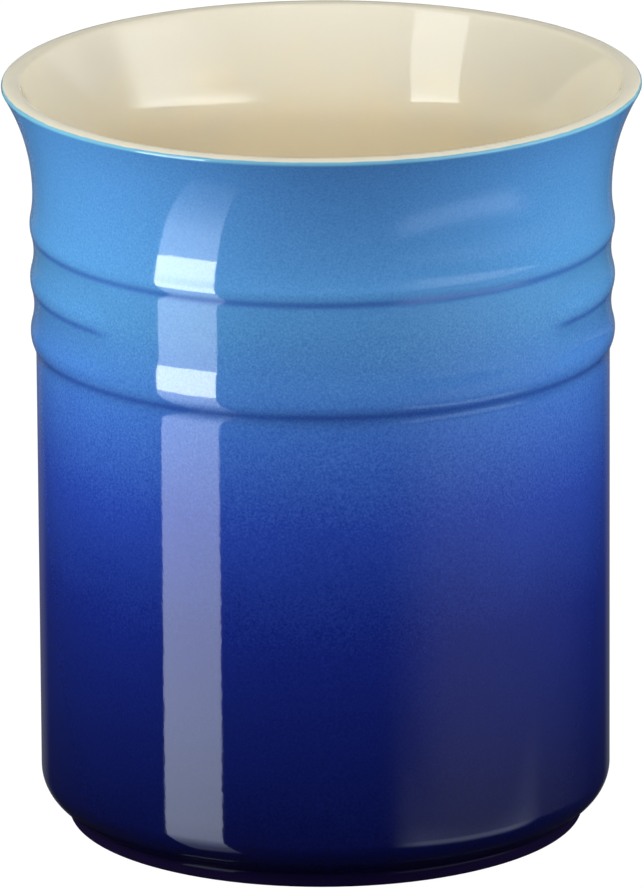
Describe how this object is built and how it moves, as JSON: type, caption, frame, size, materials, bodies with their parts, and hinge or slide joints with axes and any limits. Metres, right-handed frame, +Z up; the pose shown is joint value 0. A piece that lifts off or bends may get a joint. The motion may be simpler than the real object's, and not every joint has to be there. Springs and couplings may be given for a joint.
{
  "type": "utensil crock",
  "caption": "Open glazed stoneware jar with a straight round wall, moulded rings, a flared rim and a low foot, for holding kitchen utensils upright.",
  "frame": {"origin": "centre of the standing ring under the foot, on the plane that the crock stands on", "axes": "+Z up along the jar's axis; -Y is the front, where the panel between the rings is plain"},
  "size_m": [0.1522, 0.1522, 0.182],
  "materials": {
    "bare_stoneware": "bare fired stoneware, matt, showing only on the standing ring under the foot",
    "cream_glaze": "glossy cream glaze",
    "azure_glaze": "glossy azure glaze with a fine sprayed mottle",
    "indigo_glaze": "glossy indigo glaze that fades upwards into the azure",
    "base_glaze": "dark navy glaze in the recess under the jar"
  },
  "bodies": {
    "root": {"stoneware_body": "bare_stoneware", "inner_glaze": "cream_glaze", "upper_glaze": "azure_glaze", "lower_glaze": "indigo_glaze", "base_glaze": "base_glaze"}
  },
  "joints": []
}
